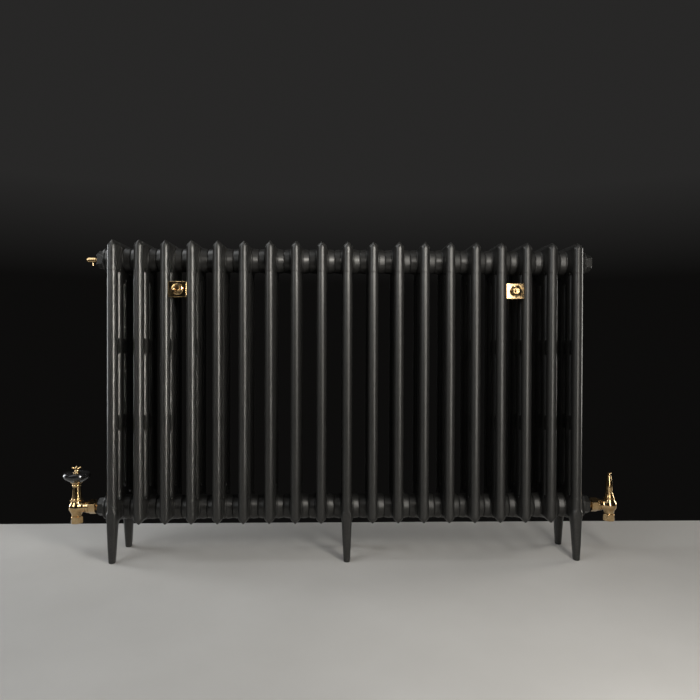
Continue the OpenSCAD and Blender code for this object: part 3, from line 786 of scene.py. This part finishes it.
def make_lockshield(origin):
    """Bonnet and tall waisted cap of the right valve."""
    turned_piece("lockshield_bonnet", bonnet_rows(13.5, [
        (18.9, 11.4), (24.6, 9.8), (25.5, 9.2), (25.5, 6.5), (40.0, 6.5), (40.0, 4.05)
    ]), "up", origin, closed=True)
    base = 25.9
    outside = rounded([
        (base, 6.8), (base, 9.6), (base + 1.1, 10.4), (base + 2.3, 9.5), (base + 4.4, 7.4), (base + 8.0, 8.0),
        (base + 13.0, 8.4), (base + 22.0, 8.3), (base + 34.0, 6.6), (base + 43.0, 5.2), (base + 45.0, 4.5),
        (base + 47.0, 5.1), (base + 50.4, 4.9), (base + 52.1, 3.6), (base + 52.1, 0.0)
    ], 1.2, 5)
    inside = [(base + 28.0, 0.0), (base + 28.0, 6.0), (base + 27.0, 6.8)]
    turned_piece("lockshield_cap", inside + outside, "up", origin)


# ---- Wall stays, drawn from the front columns' centre plane towards the front ----

def make_stay(side):
    """Square plate with bevelled edges, and the stepped round nut in front of it."""
    low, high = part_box(f"stay_plate_{side}")
    back = Vector(((low.x + high.x) / 2, high.y, (low.z + high.z) / 2))
    width, height = (high.x - low.x) / MM, (high.z - low.z) / MM
    thick = (high.y - low.y) / MM
    reach = max(width, height)
    plate = [
        (0.0, 3.3), (0.0, reach, 0.5), (0.4, reach, 0.0), (thick - 0.9, reach, 0.0),
        (thick - 0.2, reach, 0.7), (thick, reach, 1.1), (thick, 3.3)
    ]
    limit = rectangle_limit(width, height, 1.2)
    turned_piece(f"stay_plate_{side}", plate, "front", back, limit=limit, closed=True)
    rod_r = 3.05
    nut = rounded([
        (thick, rod_r), (thick, 13.5), (thick + 1.8, 13.5), (thick + 2.8, 12.6), (thick + 3.6, 10.6),
        (thick + 6.4, 9.0), (thick + 7.4, 8.2), (thick + 9.0, 7.9), (thick + 10.0, 7.1), (thick + 10.0, 5.4),
        (thick + 9.2, 4.8), (thick + 6.5, 4.8), (thick + 6.5, rod_r)
    ], 0.7, 4)
    turned_piece(f"stay_nut_{side}", nut, "front", back, closed=True)


# ---- CAD shapes that stay, with their materials ----

def dress_frame():
    for kept in nodes.values():
        if not kept.hide_render:
            kept.data.materials.clear()
            kept.data.materials.append(materials[slot_of[kept.name]])


# ---- Camera, floor and light ----

def make_camera():
    """A level camera in front, a little left of the middle, turned slightly to the right."""
    spot = Vector((-0.0289, -1.4817, 0.5039))
    yaw, pitch, roll = 0.0293, -0.0085, -0.0034
    ahead = Vector((math.sin(yaw) * math.cos(pitch), math.cos(yaw) * math.cos(pitch), math.sin(pitch)))
    level = Vector((math.cos(yaw), -math.sin(yaw), 0.0))
    above = level.cross(ahead)
    right = level * math.cos(roll) - above * math.sin(roll)
    up = level * math.sin(roll) + above * math.cos(roll)
    data = bpy.data.cameras.new("camera")
    data.sensor_width = 36.0
    data.lens = 31.28
    camera = bpy.data.objects.new("camera", data)
    bpy.context.scene.collection.objects.link(camera)
    camera.matrix_world = axes(right, up, -ahead, spot)
    bpy.context.scene.camera = camera


def make_floor():
    """A plain pale sheet. It ends out of view in front, so that the columns don't mirror it, and just
    behind the object, so that the gaps between the sections stay dark."""
    mesh = bpy.data.meshes.new("floor")
    near, far, half = -0.95, 0.24, 1.8
    mesh.from_pydata([(-half, near, 0), (half, near, 0), (half, far, 0), (-half, far, 0)], [], [(0, 1, 2, 3)])
    floor = bpy.data.objects.new("floor", mesh)
    bpy.context.scene.collection.objects.link(floor)
    material, tree, shader, place = new_material("pale_floor")
    cloud = noise(tree, place, 3.0, 4.0)
    tree.links.new(ramp(tree, cloud, (0.47, 0.455, 0.43), (0.52, 0.505, 0.48)), shader.inputs["Base Color"])
    shader.inputs["Roughness"].default_value = 0.62
    mesh.materials.append(material)


def soft_light(name, spot, aim, width, height, power, colour=(1.0, 1.0, 1.0), spread=180.0):
    """A rectangular light. spread is in degrees."""
    data = bpy.data.lights.new(name, "AREA")
    data.shape = "RECTANGLE"
    data.size, data.size_y = width, height
    data.energy = power
    data.color = colour
    data.spread = math.radians(spread)
    light = bpy.data.objects.new(name, data)
    light.location = spot
    light.rotation_mode = "QUATERNION"
    light.rotation_quaternion = (Vector(aim) - Vector(spot)).to_track_quat("-Z", "Y")
    bpy.context.scene.collection.objects.link(light)


def make_light():
    """Tall strips and a hub light on the right front, wide soft ones on the left, above and behind."""
    warm, cool = (1.0, 0.97, 0.92), (0.94, 0.97, 1.0)
    soft_light("right_strip", (0.56, -1.08, 1.0), (0.25, -0.08, 1.0), 0.22, 1.8, 13.0, warm)
    soft_light("hub_spot", (0.22, -1.15, 0.93), (-0.12, -0.05, 0.70), 0.30, 0.14, 1.5, warm, 70.0)
    soft_light("left_end_strip", (0.60, -1.02, 0.85), (-0.50, -0.08, 0.80), 0.15, 1.3, 1.1, warm, 24.0)
    soft_light("left_soft", (-2.05, -1.9, 1.7), (0.0, 0.0, 1.4), 1.5, 1.6, 28.0, cool)
    soft_light("upper_left", (-1.15, -0.10, 1.95), (-0.35, 0.0, 0.7), 0.9, 0.9, 11.0, cool)
    soft_light("above", (0.0, -1.1, 2.7), (0.0, -1.1, 0.0), 3.0, 1.6, 8.0)
    soft_light("rear_left", (-2.7, 0.75, 0.75), (-0.3, 0.05, 0.5), 0.8, 1.5, 12.0, cool, 110.0)
    soft_light("rear_right", (2.7, 0.75, 0.75), (0.3, 0.05, 0.5), 0.8, 1.5, 11.0, warm, 110.0)


def make_world():
    """Dark studio: nearly black low down, dark grey above."""
    world = bpy.data.worlds.new("studio")
    world.use_nodes = True
    tree = world.node_tree
    place = tree.nodes.new("ShaderNodeTexCoord")
    split = tree.nodes.new("ShaderNodeSeparateXYZ")
    tree.links.new(place.outputs["Generated"], split.inputs["Vector"])
    shade = ramp(tree, split.outputs["Z"], (0.004, 0.0038, 0.0036), (0.021, 0.0205, 0.020), 0.10, 0.24)
    tree.links.new(shade, tree.nodes["Background"].inputs["Color"])
    bpy.context.scene.world = world
    bpy.context.scene.view_settings.view_transform = "Standard"


make_sections()
make_bushes()
make_vent()
angle_body = body_mesh()
make_valve_body("valve", angle_body, valve_origin("handwheel"), "right")
make_handwheel(valve_origin("handwheel"))
make_valve_body("lockshield", angle_body, valve_origin("lockshield_cap"), "left")
make_lockshield(valve_origin("lockshield_cap"))
make_stay("left")
make_stay("right")
dress_frame()
make_camera()
make_floor()
make_light()
make_world()

bpy.context.view_layer.update()
